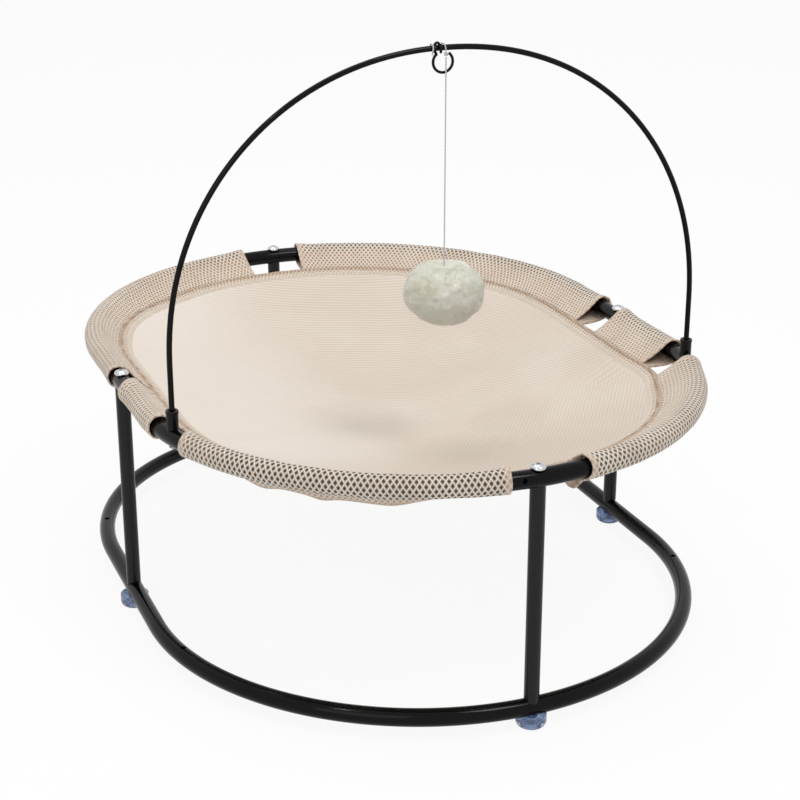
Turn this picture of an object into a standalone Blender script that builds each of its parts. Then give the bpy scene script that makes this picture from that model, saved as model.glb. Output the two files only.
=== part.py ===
"""Cat lounger: a mesh sling on a raised tube ring, with a wire arch and a hanging pompom.

Units are metres, +Z is up. The origin is on the floor under the middle of the ring.
The front leg is on -Y, and the arch crosses the bed from left (-X) to right (+X).
Both rings have the same plan: two straight sides joined by two half circles.
Each ring is two equal half tubes. Turned by 180 degrees, one half is the other.
"""

import math

import bmesh
import bpy
from mathutils import Matrix, Vector

# Driving dimensions of the two rings and the legs
end_radius = 0.260
side_straight = 0.170
ring_tube = 0.016
ring_wall = 0.001
leg_tube = 0.0135
leg_wall = 0.001
ring_spacing = 0.212
floor_gap = 0.010

# Joints between the half tubes
joint_mouth = 0.005
joint_depth = 0.027
neck_start = 0.0080
neck_end = 0.0060
neck_gap = 0.00033
lock_hole = 0.0040
lock_hole_place = 0.0110
lock_hole_slope = math.radians(25)

# Screws, threaded plugs and feet. Shares are parts of a screw head's width or height
screw_shank = 0.006
head_dome_share = 0.7
recess_width_share = 0.55
recess_slot_share = 0.11
recess_depth_share = 0.6
top_head = 0.013
top_head_height = 0.0032
top_screw_length = 0.033
plug_length = 0.015
plug_setback = 0.0020
foot_diameter = 0.027
foot_saddle = 0.0025
foot_edge = 0.0048
foot_recess = 0.0115
foot_recess_depth = 0.0055
foot_head = 0.0100
foot_head_height = 0.0032
foot_screw_length = 0.036

# Arch, its two sockets and their screws
arch_back = -0.149
rod_diameter = 0.005
arch_upright = 0.065
arch_fullness = 2.1
socket_diameter = 0.0107
socket_lip = 0.0114
socket_lip_height = 0.0030
socket_height = 0.0165
socket_bore = 0.0064
socket_chamfer = 0.0008
socket_floor = 0.0075
socket_screw = 0.004
socket_screw_reach = 0.0050
socket_screw_head = 0.0075
socket_screw_head_height = 0.0024

# Toy: wire eye, string and pompom
toy_place = -0.003
eye_wire = 0.0025
eye_diameter = 0.0205
eye_drop = 0.012
string_diameter = 0.0012
string_ahead = 0.0032
string_aside = 0.0015
knot_width = 0.0036
knot_height = 0.0041
knot_drop = 0.0052
string_length = 0.183
pompom_width = 0.077
pompom_height = 0.061
pompom_dimple = 0.006
pompom_dimple_width = 0.012
wrap_slack = 0.0002

# Fabric of the sling
cloth = 0.0018
seat_cloth = 0.0012
seam_inset = 0.034
border_width = 0.014
seam_drop = 0.010
border_slope = 0.003
seat_hem = 0.011
seat_sag = 0.040
crease_depth = 0.0020
crease_count = 9

# Free tube between the sleeves: from and to, along the ring from the leg or socket
front_bare = (-0.0255, 0.043)
back_bare = (-0.027, 0.039)
leg_bare = (-0.0135, 0.0305)
right_socket_bare = (-0.0145, 0.0335)
left_socket_bare = (-0.025, 0.0255)

# How far each sleeve's lower layer hangs slack: at its ends and in its middle
slack_side = (0.006, 0.006)
slack_back = (0.006, 0.007)
slack_front_right = (0.006, 0.004)
slack_front_left = (0.0, 0.012)

# Clearances: between pieces that touch, round a screw in its plug, and in a drilled tube
seat_gap = 0.0003
shank_gap = 0.0003
drill_gap = 0.0006

# Smoothness. A round end has an odd number of straight runs, so one lies square over each leg
end_runs = 21
arch_runs = 25
tube_sides = 12
rod_sides = 10
wire_sides = 8
string_sides = 6
round_steps = 12
hole_steps = 8
foot_steps = 16
pompom_steps = 20

quarter_length = end_radius * math.pi / 2
ring_length = 4 * quarter_length + 2 * side_straight
base_level = floor_gap + ring_tube / 2
upper_level = base_level + ring_spacing
ring_top = upper_level + ring_tube / 2
arch_middle = upper_level + arch_upright

side_leg_place = quarter_length + side_straight / 2
socket_angle = math.asin((-arch_back - side_straight / 2) / end_radius)
socket_place = quarter_length - end_radius * socket_angle


# Scene set-up

def clear_scene():
    for thing in list(bpy.data.objects):
        bpy.data.objects.remove(thing, do_unlink=True)


def new_collection(name):
    collection = bpy.data.collections.new(name)
    bpy.context.scene.collection.children.link(collection)
    return collection


def paint(name, colour, roughness, metallic=0.0):
    material = bpy.data.materials.new(name)
    material.use_nodes = True
    shader = material.node_tree.nodes["Principled BSDF"]
    shader.inputs["Base Color"].default_value = (*colour, 1.0)
    shader.inputs["Roughness"].default_value = roughness
    shader.inputs["Metallic"].default_value = metallic
    return material


# General shapes. Each returns a closed mesh.

def finished(name, bm):
    """The mesh of a finished edit, smooth where it is round."""
    mesh = bpy.data.meshes.new(name)
    bm.to_mesh(mesh)
    bm.free()
    mesh.shade_smooth()
    mesh.set_sharp_from_angle(angle=math.radians(40))
    return mesh


def bake(thing):
    """The mesh that an object and its modifiers give, with the object removed."""
    bpy.context.view_layer.update()
    evaluated = thing.evaluated_get(bpy.context.evaluated_depsgraph_get())
    bm = bmesh.new()
    bm.from_mesh(bpy.data.meshes.new_from_object(evaluated))
    bmesh.ops.remove_doubles(bm, verts=bm.verts, dist=0.00001)
    name = thing.name
    bpy.data.objects.remove(thing, do_unlink=True)
    return finished(name, bm)


def loose_object(name, data):
    thing = bpy.data.objects.new(name, data)
    workshop.objects.link(thing)
    return thing


def swept_tube(name, points, diameter, sides, scales=None, wall=None):
    """A tube along points. With a wall it is open at both ends."""
    curve = bpy.data.curves.new(name, "CURVE")
    curve.dimensions = "3D"
    curve.bevel_depth = diameter / 2
    curve.bevel_resolution = (sides - 4) // 2
    curve.use_fill_caps = wall is None
    spline = curve.splines.new("POLY")
    spline.points.add(len(points) - 1)
    for index, point in enumerate(points):
        spline.points[index].co = (*point, 1.0)
        spline.points[index].radius = scales[index] if scales else 1.0
    thing = loose_object(name, curve)
    if wall:
        curve.twist_mode = "Z_UP"
        shell = thing.modifiers.new("wall", "SOLIDIFY")
        shell.thickness = wall
        shell.offset = -1.0
        shell.use_even_offset = True
    return bake(thing)


def turned(name, profile, steps=round_steps, closed=False):
    """A shape turned about Z from a profile that runs down its outer side."""
    count = len(profile)
    edges = [(i, i + 1) for i in range(count - 1)]
    if closed:
        edges.append((count - 1, 0))
    mesh = bpy.data.meshes.new(name)
    mesh.from_pydata([(radius, 0.0, height) for radius, height in profile], edges, [])
    thing = loose_object(name, mesh)
    screw = thing.modifiers.new("turn", "SCREW")
    screw.steps = steps
    screw.render_steps = steps
    screw.use_merge_vertices = True
    screw.merge_threshold = 0.00001
    return bake(thing)


def cylinder(name, diameter, low, high, place=(0.0, 0.0), steps=round_steps):
    """An upright cylinder mesh between two heights."""
    bm = bmesh.new()
    middle = Matrix.Translation((place[0], place[1], (low + high) / 2))
    bmesh.ops.create_cone(bm, cap_ends=True, segments=steps, radius1=diameter / 2,
                          radius2=diameter / 2, depth=high - low, matrix=middle)
    return finished(name, bm)


def lying_cylinder(name, diameter, length, height, steps=tube_sides * 2):
    """A cylinder mesh along X at one height."""
    mesh = cylinder(name, diameter, -length / 2, length / 2, steps=steps)
    mesh.transform(Matrix.Rotation(math.pi / 2, 4, "Y"))
    mesh.transform(Matrix.Translation((0.0, 0.0, height)))
    return mesh


def combined(name, meshes):
    """Several separate meshes in one, for use as one cutter."""
    bm = bmesh.new()
    for mesh in meshes:
        bm.from_mesh(mesh)
    return finished(name, bm)


def closed_loft(name, frames):
    """A skin through frames of points, each a closed outline. The last frame meets the first."""
    bm = bmesh.new()
    rows = [[bm.verts.new(point) for point in frame] for frame in frames]
    count = len(frames[0])
    for first, second in zip(rows, rows[1:] + rows[:1]):
        for i in range(count):
            j = (i + 1) % count
            bm.faces.new((first[i], first[j], second[j], second[i]))
    bmesh.ops.recalc_face_normals(bm, faces=bm.faces)
    return finished(name, bm)


def boolean(body_mesh, tool_mesh, operation="DIFFERENCE"):
    """The mesh of a body after one cut by, or one union with, a tool."""
    tool = bpy.data.objects.new(body_mesh.name + "_tool", tool_mesh)
    cutters.objects.link(tool)
    tool.hide_render = True
    tool.display_type = "WIRE"
    body = loose_object(body_mesh.name, body_mesh)
    modifier = body.modifiers.new("cut", "BOOLEAN")
    modifier.operation = operation
    modifier.solver = "EXACT"
    modifier.object = tool
    return bake(body)


def put(name, mesh, material, place=(0.0, 0.0, 0.0), turn=0.0, parent=None):
    """A named part from a mesh, turned about Z and moved to its place."""
    thing = bpy.data.objects.new(name, mesh)
    lounger.objects.link(thing)
    thing.location = place
    thing.rotation_euler = (0.0, 0.0, turn)
    thing.parent = parent
    if not mesh.materials:
        mesh.materials.append(material)
    return thing


def pivot(name, place, parent=None):
    """An empty on a joint's axis, placed relative to its parent."""
    thing = bpy.data.objects.new(name, None)
    lounger.objects.link(thing)
    thing.empty_display_size = 0.02
    thing.location = place
    thing.parent = parent
    return thing


# The plan of the ring. Places on it are lengths from the front leg, counter-clockwise.

def ring_corner_places():
    """Where the ring's outline has its corners: along the round ends, in equal steps."""
    run = 2 * quarter_length / end_runs
    count = (end_runs + 1) // 2
    front = [run * (i + 0.5) for i in range(count)]
    back = [quarter_length + side_straight + run * i for i in range(count)]
    return front + back + [ring_length / 2 + place for place in front + back]


def true_ring(place):
    """Point and outward direction at a place on the ring."""
    place = place % ring_length
    turned_half = place >= ring_length / 2
    place = place % (ring_length / 2)
    half_side = side_straight / 2
    if place <= quarter_length:
        angle = place / end_radius - math.pi / 2
        outward = Vector((math.cos(angle), math.sin(angle), 0.0))
        point = Vector((0.0, -half_side, 0.0)) + outward * end_radius
    elif place <= quarter_length + side_straight:
        outward = Vector((1.0, 0.0, 0.0))
        point = Vector((end_radius, place - quarter_length - half_side, 0.0))
    else:
        angle = (place - quarter_length - side_straight) / end_radius
        outward = Vector((math.cos(angle), math.sin(angle), 0.0))
        point = Vector((0.0, half_side, 0.0)) + outward * end_radius
    if turned_half:
        return -point, -outward
    return point, outward


def ring_at(place, out=0.0, up=0.0):
    """A point beside the ring. Between two corners it lies on the straight line between them."""
    place = place % ring_length
    corners = [ring_corners[-1] - ring_length] + ring_corners + [ring_corners[0] + ring_length]
    index = max(i for i, corner in enumerate(corners[:-1]) if corner <= place + 1e-9)
    start, end = corners[index], corners[index + 1]
    share = (place - start) / (end - start)
    low_point, low_out = true_ring(start)
    high_point, high_out = true_ring(end)
    low = low_point + low_out * out
    high = high_point + high_out * out
    return low.lerp(high, share) + Vector((0.0, 0.0, up))


def ring_heading(place):
    """The turn about Z from +X to the ring's own direction at a place."""
    way = ring_at(place + 0.001) - ring_at(place - 0.001)
    return math.atan2(way.y, way.x)


def stations(start, end):
    """Places from start to end along the ring, with every corner between them."""
    laps = [corner + lap * ring_length for lap in (-1, 0, 1) for corner in ring_corners]
    inner = [corner for corner in laps if start + 1e-4 < corner < end - 1e-4]
    return [start] + inner + [end]


# Tube frame

def half_ring_mesh():
    """One half of a ring. Its front end is a plain mouth, its back end a swaged neck."""
    end = ring_length / 2
    plain = stations(-joint_mouth, end - neck_start)
    neck = stations(end - neck_end, end + joint_depth - joint_mouth)
    places = plain + neck
    neck_scale = (ring_tube - 2 * ring_wall - 2 * neck_gap) / ring_tube
    scales = [1.0] * len(plain) + [neck_scale] * len(neck)
    points = [ring_at(place) for place in places]
    tube = swept_tube("half_ring", points, ring_tube, tube_sides, scales, ring_wall)
    return boolean(tube, half_ring_drill())


def half_ring_drill():
    """Cutter for the screw holes: three for the legs, two for arch sockets, one lock hole."""
    reach = ring_tube
    leg_hole = screw_shank + 2 * drill_gap
    arch_hole = socket_screw + 2 * drill_gap
    drills = []
    for place in (0.0, side_leg_place, ring_length / 2):
        spot = ring_at(place).xy
        drills.append(cylinder("leg_hole", leg_hole, -reach, reach, spot, hole_steps))
    for place in (socket_place, ring_length / 2 - socket_place):
        spot = ring_at(place).xy
        drills.append(cylinder("arch_hole", arch_hole, -reach, reach, spot, hole_steps))
    lock = cylinder("lock", lock_hole, ring_tube / 4, reach, steps=hole_steps)
    lock.transform(Matrix.Rotation(math.pi / 2 + lock_hole_slope, 4, "X"))
    lock.transform(Matrix.Rotation(math.pi, 4, "Z"))
    lock.transform(Matrix.Translation(ring_at(ring_length / 2 - lock_hole_place)))
    drills.append(lock)
    return combined("half_ring_drill", drills)


def make_rings(mesh, black):
    for level_name, level in (("upper", upper_level), ("base", base_level)):
        put(level_name + "_tube_right", mesh, black, (0, 0, level))
        put(level_name + "_tube_left", mesh, black, (0, 0, level), math.pi)


def leg_mesh():
    """A leg with a saddle at each end that hugs the ring tubes, which run along X."""
    outer = cylinder("leg", leg_tube, base_level, upper_level)
    bore = cylinder("leg_bore", leg_tube - 2 * leg_wall, 0.0, ring_top)
    pipe = boolean(outer, bore)
    saddle = ring_tube + 2 * seat_gap
    saddles = [lying_cylinder("saddle", saddle, 3 * leg_tube, level)
               for level in (base_level, upper_level)]
    return boolean(pipe, combined("leg_saddles", saddles))


def plug_mesh():
    """Threaded plug that fills the end of a leg, from its own lower face up."""
    bore = screw_shank / 2 + shank_gap
    outer = leg_tube / 2 - leg_wall - seat_gap
    profile = [(bore, plug_length), (outer, plug_length), (outer, 0.0), (bore, 0.0)]
    return turned("plug", profile, closed=True)


def recess_blade(head, head_height, turn):
    """Cutter for one of the two blades of a cross recess in a screw head."""
    bm = bmesh.new()
    size = Matrix.Diagonal((head * recess_width_share, head * recess_slot_share,
                            2 * head_height * recess_depth_share, 1.0))
    place = Matrix.Translation((0.0, 0.0, head_height)) @ Matrix.Rotation(turn, 4, "Z")
    bmesh.ops.create_cube(bm, size=1.0, matrix=place @ size)
    return finished("recess_blade", bm)


def screw_mesh(name, head, head_height, shank, length, recess):
    """A truss-head screw. Its head's underside is at height 0, and its shank points down."""
    radius = head / 2
    dome = head_height * head_dome_share
    profile = [(radius * math.sin(angle), head_height - dome * (1 - math.cos(angle)))
               for angle in (math.radians(degrees) for degrees in (0, 30, 60, 90))]
    tip = shank / 6
    profile += [(radius, 0.0), (shank / 2, 0.0), (shank / 2, tip - length),
                (shank / 2 - tip, -length), (0.0, -length)]
    body = turned(name, profile)
    if recess:
        for turn in (0.0, math.pi / 2):
            body = boolean(body, recess_blade(head, head_height, turn))
    return body


def foot_mesh():
    """Round foot with a screw recess below and a saddle above, for a tube along X."""
    bore = screw_shank / 2 + shank_gap
    outer = foot_diameter / 2
    top = floor_gap + foot_saddle
    round_edge = [(outer - foot_edge * (1 - math.cos(angle)), foot_edge * (1 - math.sin(angle)))
                  for angle in (0.0, math.pi / 4, math.pi / 2)]
    profile = [(bore, top), (outer - 0.001, top), (outer, top - 0.001)] + round_edge
    profile += [(foot_recess / 2, 0.0), (foot_recess / 2, foot_recess_depth),
                (bore, foot_recess_depth)]
    body = turned("foot", profile, foot_steps, closed=True)
    tube = ring_tube + 2 * seat_gap
    return boolean(body, lying_cylinder("foot_saddle", tube, 2 * foot_diameter, base_level))


def leg_spots():
    """Name and place on the ring of each leg."""
    return (("front", 0.0), ("right", side_leg_place), ("back", ring_length / 2),
            ("left", ring_length - side_leg_place))


def make_legs(black, steel, chrome, clear):
    leg = leg_mesh()
    plug = plug_mesh()
    foot = foot_mesh()
    top_screw = screw_mesh("top_screw", top_head, top_head_height, screw_shank,
                           top_screw_length, True)
    foot_screw = screw_mesh("foot_screw", foot_head, foot_head_height, screw_shank,
                            foot_screw_length, True)
    foot_screw.transform(Matrix.Rotation(math.pi, 4, "X"))
    top_plug = upper_level - ring_tube / 2 - plug_setback - plug_length
    low_plug = base_level + ring_tube / 2 + plug_setback
    for name, place in leg_spots():
        spot = ring_at(place)
        turn = ring_heading(place)
        put("leg_" + name, leg, black, spot, turn)
        put("top_plug_" + name, plug, steel, spot + Vector((0, 0, top_plug)))
        put("low_plug_" + name, plug, steel, spot + Vector((0, 0, low_plug)))
        put("top_screw_" + name, top_screw, chrome, spot + Vector((0, 0, ring_top + seat_gap)))
        put("foot_" + name, foot, clear, spot, turn)
        head = foot_recess_depth - seat_gap
        put("foot_screw_" + name, foot_screw, chrome, spot + Vector((0, 0, head)))


# Arch

def socket_mesh():
    """Arch socket with its bore above, its screw hole below and a saddle for a tube along X."""
    outer = socket_diameter / 2
    lip = socket_lip / 2
    bore = socket_bore / 2
    hole = socket_screw / 2 + shank_gap
    foot = -ring_tube / 4
    hole_top = socket_screw_reach + seat_gap
    lip_low = socket_height - socket_lip_height
    mouth = bore + socket_chamfer
    profile = [(0.0, socket_floor), (bore, socket_floor), (bore, socket_height - socket_chamfer),
               (mouth, socket_height), (lip - 0.0004, socket_height),
               (lip, socket_height - 0.0004), (lip, lip_low), (outer, lip_low), (outer, foot),
               (hole, foot), (hole, hole_top), (0.0, hole_top)]
    body = turned("arch_socket", profile)
    tube = ring_tube + 2 * seat_gap
    saddle = lying_cylinder("socket_saddle", tube, 3 * socket_diameter, -ring_tube / 2)
    return boolean(body, saddle)


def make_sockets(black_plastic, steel):
    socket = socket_mesh()
    length = ring_tube + seat_gap + socket_screw_reach
    screw = screw_mesh("socket_screw", socket_screw_head, socket_screw_head_height,
                       socket_screw, length, False)
    screw.transform(Matrix.Rotation(math.pi, 4, "X"))
    for name, place in (("right", socket_place), ("left", ring_length - socket_place)):
        spot = ring_at(place)
        turn = ring_heading(place)
        put("arch_socket_" + name, socket, black_plastic, spot + Vector((0, 0, ring_top)), turn)
        low = upper_level - ring_tube / 2 - seat_gap
        put("socket_screw_" + name, screw, steel, spot + Vector((0, 0, low)))


def bowed(value):
    """A sine or cosine made a little fuller, for rounder shoulders than a half circle has."""
    return math.copysign(abs(value) ** (2 / arch_fullness), value)


def make_arch(black):
    """The wire arch, on an empty at its foot: two uprights and a full bow of short runs.

    The number of runs is odd, so that the run in the middle, which carries the toy, is level.
    """
    half_span = ring_at(socket_place).x
    foot = ring_top + socket_floor + seat_gap
    lift = pivot("arch_lift", (0.0, arch_back, foot))
    rise = arch_middle - foot
    points = [Vector((half_span, 0.0, 0.0))]
    for i in range(arch_runs + 1):
        angle = math.pi * i / arch_runs
        points.append(Vector((half_span * bowed(math.cos(angle)), 0.0,
                              rise + half_span * bowed(math.sin(angle)))))
    points.append(Vector((-half_span, 0.0, 0.0)))
    rod = swept_tube("arch_rod", points, rod_diameter, rod_sides)
    put("arch_rod", rod, black, parent=lift)
    return lift, rise + half_span * bowed(math.cos(math.pi / (2 * arch_runs)))


# Toy

def round_rod(x, degrees, distance):
    """A point round the rod, which runs along X: 0 degrees is below it, 90 behind it."""
    angle = math.radians(degrees)
    return Vector((x, distance * math.sin(angle), -distance * math.cos(angle)))


def rod_turn(from_x, to_x, from_degrees, to_degrees, thickness, steps):
    """Points of a turn round the rod for a wire or string of one thickness."""
    distance = (rod_diameter + thickness) / 2 + seat_gap + wrap_slack
    turn = []
    for i in range(steps + 1):
        share = i / steps
        degrees = from_degrees + (to_degrees - from_degrees) * share
        turn.append(round_rod(from_x + (to_x - from_x) * share, degrees, distance))
    return turn


def smooth_path(guides, steps):
    """Points on a smooth curve through the guide points."""
    path = []
    last = len(guides) - 1
    for i in range(last):
        before, start = guides[max(i - 1, 0)], guides[i]
        end, after = guides[i + 1], guides[min(i + 2, last)]
        for step in range(steps):
            t = step / steps
            bend = (2 * before - 5 * start + 4 * end - after) * t ** 2
            swing = (3 * start - before - 3 * end + after) * t ** 3
            path.append(start + 0.5 * ((end - before) * t + bend + swing))
    return path + [guides[last]]


def eye_path():
    """The eye's wire: most of a circle below the rod, then one turn round the rod."""
    radius = (eye_diameter - eye_wire) / 2
    open_from, open_to = math.radians(50), math.radians(125 - 360)
    steps = 16
    circle = []
    for i in range(steps + 1):
        angle = open_from + (open_to - open_from) * i / steps
        circle.append(Vector((radius * math.cos(angle), 0.0,
                              radius * math.sin(angle) - eye_drop)))
    return circle + rod_turn(-0.0068, -0.0031, 55, 325, eye_wire, 8)


def hitch_guides():
    """The string's way from the knot over the rod, behind the eye and round the rod again."""
    knot = Vector((string_aside, -string_ahead, -knot_drop))
    over = rod_turn(0.0012, -0.0008, 300, 100, string_diameter, 4)
    behind = [round_rod(-0.0030, 70, 0.0066), round_rod(-0.0060, 60, 0.0078),
              round_rod(-0.0088, 68, 0.0062)]
    again = rod_turn(-0.0102, -0.0104, 95, 295, string_diameter, 4)
    tail = [round_rod(-0.0104, 328, 0.0044), round_rod(-0.0106, 340, 0.0060)]
    return [knot] + over + behind + again + tail


def least_gap(path, diameter):
    """The least gap between parts of a bent tube that are not next to each other."""
    apart = 4 * diameter
    least = math.inf
    for i, point in enumerate(path):
        way = 0.0
        for j in range(i + 1, len(path)):
            way += (path[j] - path[j - 1]).length
            if way > apart:
                least = min(least, (path[j] - point).length - diameter)
    return least


def knot_mesh(centre):
    """The string's knot, as a small rounded lump."""
    bm = bmesh.new()
    size = Matrix.Diagonal((knot_width, knot_width, knot_height, 1.0))
    bmesh.ops.create_uvsphere(bm, u_segments=rod_sides, v_segments=rod_sides // 2, radius=0.5,
                              matrix=Matrix.Translation(centre) @ size)
    return finished("knot", bm)


def pompom_mesh(top):
    """A soft flattened ball that hangs below a height, with a dimple for the string."""
    centre = top + pompom_dimple - pompom_height / 2
    profile = []
    rings = pompom_steps // 2
    for i in range(rings + 1):
        angle = math.pi * i / rings
        radius = pompom_width / 2 * math.sin(angle)
        height = centre + pompom_height / 2 * math.cos(angle)
        if angle < math.pi / 2:
            height -= pompom_dimple * math.exp(-(radius / pompom_dimple_width) ** 2)
        profile.append((radius, height))
    return turned("toy_pompom", profile, pompom_steps)


def make_toy(lift, rod_height, black, white, plush):
    """The eye and the knotted string turn round the rod. The string swings sideways too."""
    hanger = pivot("toy_hanger", (toy_place, 0.0, rod_height), lift)
    eye = eye_path()
    print("least gap of the eye's wire to itself: %.2f mm" % (least_gap(eye, eye_wire) * 1000))
    put("toy_eye", swept_tube("toy_eye", eye, eye_wire, wire_sides), black, parent=hanger)
    guides = hitch_guides()
    hitch = smooth_path(guides, 2)
    gap = least_gap(hitch, string_diameter)
    print("least gap of the string's hitch to itself: %.2f mm" % (gap * 1000))
    loops = swept_tube("toy_hitch", hitch, string_diameter, string_sides)
    knot = guides[0]
    put("toy_hitch", boolean(loops, knot_mesh(knot), "UNION"), white, parent=hanger)

    swing = pivot("toy_swing", knot, hanger)
    start = -knot_height / 2 - seat_gap
    count = 10
    line = [Vector((0.0, 0.0, start - string_length * i / count)) for i in range(count + 1)]
    string = swept_tube("toy_string", line, string_diameter, wire_sides)
    put("toy_string", string, white, parent=swing)
    low = start - string_length - seat_gap
    put("toy_pompom", pompom_mesh(low), plush, parent=swing)


# Sling. A section is a list of points (out, up) measured from the middle of the tube.

def tangent_angle(out, up, radius, side):
    """Angle of the point where a line from a far point touches a circle. Side 1 is above."""
    distance = math.hypot(out, up)
    return math.atan2(up, out) % math.tau - side * math.acos(radius / distance)


def loop_section(radius, tip, tip_half, slack):
    """A loop of cloth round the tube, drawn in to a flat tip where it is sewn."""
    above = tangent_angle(tip, -seam_drop + tip_half, radius, 1)
    below = tangent_angle(tip, -seam_drop - tip_half, radius, -1) - math.tau
    steps = 8
    section = []
    for i in range(steps + 1):
        angle = above + (below - above) * i / steps
        section.append((radius * math.cos(angle), radius * math.sin(angle)))
    start, end = section[-1], (tip, -seam_drop - tip_half)
    for share in (0.25, 0.5, 0.75):
        hang = slack * 4 * share * (1 - share)
        section.append((start[0] + (end[0] - start[0]) * share,
                        start[1] + (end[1] - start[1]) * share - hang))
    section += [end, (tip, -seam_drop + tip_half)]
    return section


def sleeve_sections(slack):
    """Outer and inner section of a sleeve, point for point."""
    inner_radius = ring_tube / 2 + seat_gap
    outer = loop_section(inner_radius + cloth, seat_gap - seam_inset, cloth, slack)
    inner = loop_section(inner_radius, 2 * cloth - seam_inset, cloth / 8, slack)
    return outer, inner


def sleeve_mesh(name, start, end, slack):
    """A sleeve along the ring, with its lower layer's slack at its ends and in its middle."""
    outer_frames, inner_frames = [], []
    for place in stations(start, end):
        share = (place - start) / (end - start)
        hang = slack[0] + (slack[1] - slack[0]) * math.sin(math.pi * share)
        outer, inner = sleeve_sections(hang)
        outer_frames.append([ring_at(place, out, up) for out, up in outer])
        inner_frames.append([ring_at(place, out, up) for out, up in inner])
    return closed_loft(name, outer_frames + inner_frames[::-1])


def sleeve_spans():
    """Name, start, end and slack of each sleeve, between the bare places on the ring."""
    half = ring_length / 2
    right_leg, right_socket = side_leg_place, socket_place
    left_leg, left_socket = ring_length - side_leg_place, ring_length - socket_place
    return (
        ("sleeve_front_right", front_bare[1], right_socket + right_socket_bare[0],
         slack_front_right),
        ("sleeve_right", right_socket + right_socket_bare[1], right_leg + leg_bare[0], slack_side),
        ("sleeve_back_right", right_leg + leg_bare[1], half + back_bare[0], slack_back),
        ("sleeve_back_left", half + back_bare[1], left_leg + leg_bare[0], slack_back),
        ("sleeve_left", left_leg + leg_bare[1], left_socket + left_socket_bare[0], slack_side),
        ("sleeve_front_left", left_socket + left_socket_bare[1], ring_length + front_bare[0],
         slack_front_left),
    )


def make_sleeves(fabric):
    level = (0.0, 0.0, upper_level)
    for name, start, end, slack in sleeve_spans():
        put(name, sleeve_mesh(name, start, end, slack), fabric, level)


def make_border(fabric):
    """The band that the sleeves are sewn to: a closed strip inside the ring."""
    outer, inner = -seam_inset, -seam_inset - border_width
    high, low = -seam_drop, -seam_drop - border_slope
    half = cloth / 2
    section = [(outer, high + half), (inner, low + half), (inner, low - half), (outer, high - half)]
    frames = [[ring_at(place, out, up) for out, up in section] for place in ring_corners]
    put("seat_border", closed_loft("seat_border", frames), fabric, (0.0, 0.0, upper_level))


def seat_height(share, angle):
    """Height of the seat over the tube's middle. Share is 1 at its visible edge, 0 in its middle."""
    edge = -seam_drop - border_slope - cloth / 2 - seat_gap
    sag = seat_sag * (1 - share ** 2)
    crease = crease_depth * math.cos(crease_count * angle) * share ** 3 * (1 - share) * 4
    return edge - sag + crease


def seat_rows():
    """Rows of points from the hem under the border to near the seat's middle."""
    inset = seam_inset + border_width
    hem_rise = border_slope * seat_hem / border_width
    hem_level = seat_height(1.0, 0.0) + hem_rise
    rows = [[ring_at(place, seat_hem - inset, hem_level) for place in ring_corners]]
    for share in (1.0, 0.88, 0.74, 0.58, 0.40, 0.20):
        row = []
        for place in ring_corners:
            point = ring_at(place, -inset)
            angle = math.atan2(point.y, point.x)
            row.append(Vector((point.x * share, point.y * share, seat_height(share, angle))))
        rows.append(row)
    return rows


def make_seat(fabric):
    """The seat: one panel of fine mesh that hangs in a shallow bowl from the border."""
    bm = bmesh.new()
    rows = [[bm.verts.new(point) for point in row] for row in seat_rows()]
    middle = bm.verts.new((0.0, 0.0, seat_height(0.0, 0.0)))
    count = len(ring_corners)
    for i in range(count):
        j = (i + 1) % count
        for outer, inner in zip(rows, rows[1:]):
            bm.faces.new((outer[i], outer[j], inner[j], inner[i]))
        bm.faces.new((rows[-1][i], rows[-1][j], middle))
    seat = loose_object("seat_panel", finished("seat_panel", bm))
    shell = seat.modifiers.new("cloth", "SOLIDIFY")
    shell.thickness = seat_cloth
    shell.offset = -1.0
    put("seat_panel", bake(seat), fabric, (0.0, 0.0, upper_level))


clear_scene()
lounger = new_collection("cat_lounger")
cutters = new_collection("cutters")
workshop = new_collection("workshop")
ring_corners = ring_corner_places()

black_paint = paint("black_paint", (0.012, 0.012, 0.013), 0.35)
black_plastic = paint("black_plastic", (0.015, 0.015, 0.016), 0.5)
plain_steel = paint("plain_steel", (0.45, 0.45, 0.45), 0.4, 1.0)
chrome_plate = paint("chrome_plate", (0.8, 0.8, 0.8), 0.15, 1.0)
blue_clear = paint("blue_clear", (0.35, 0.45, 0.65), 0.2)
beige_mesh = paint("beige_mesh", (0.72, 0.60, 0.48), 0.9)
cream_mesh = paint("cream_mesh", (0.80, 0.70, 0.60), 0.9)
white_string = paint("white_string", (0.85, 0.85, 0.83), 0.8)
cream_plush = paint("cream_plush", (0.86, 0.84, 0.76), 1.0)

make_rings(half_ring_mesh(), black_paint)
make_legs(black_paint, plain_steel, chrome_plate, blue_clear)
make_sockets(black_plastic, plain_steel)
arch_foot, toy_height = make_arch(black_paint)
make_toy(arch_foot, toy_height, black_paint, white_string, cream_plush)
make_sleeves(beige_mesh)
make_border(beige_mesh)
make_seat(cream_mesh)
bpy.data.collections.remove(workshop)
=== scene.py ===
"""Looks of the cat lounger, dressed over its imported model.

Units are metres, +Z is up, and the origin is on the floor under the middle of the bed.
The front leg is on -Y. Places along the ring are lengths from it, counter-clockwise.
"""

import math

import bmesh
import bpy
from mathutils import Matrix, Vector, noise


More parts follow.
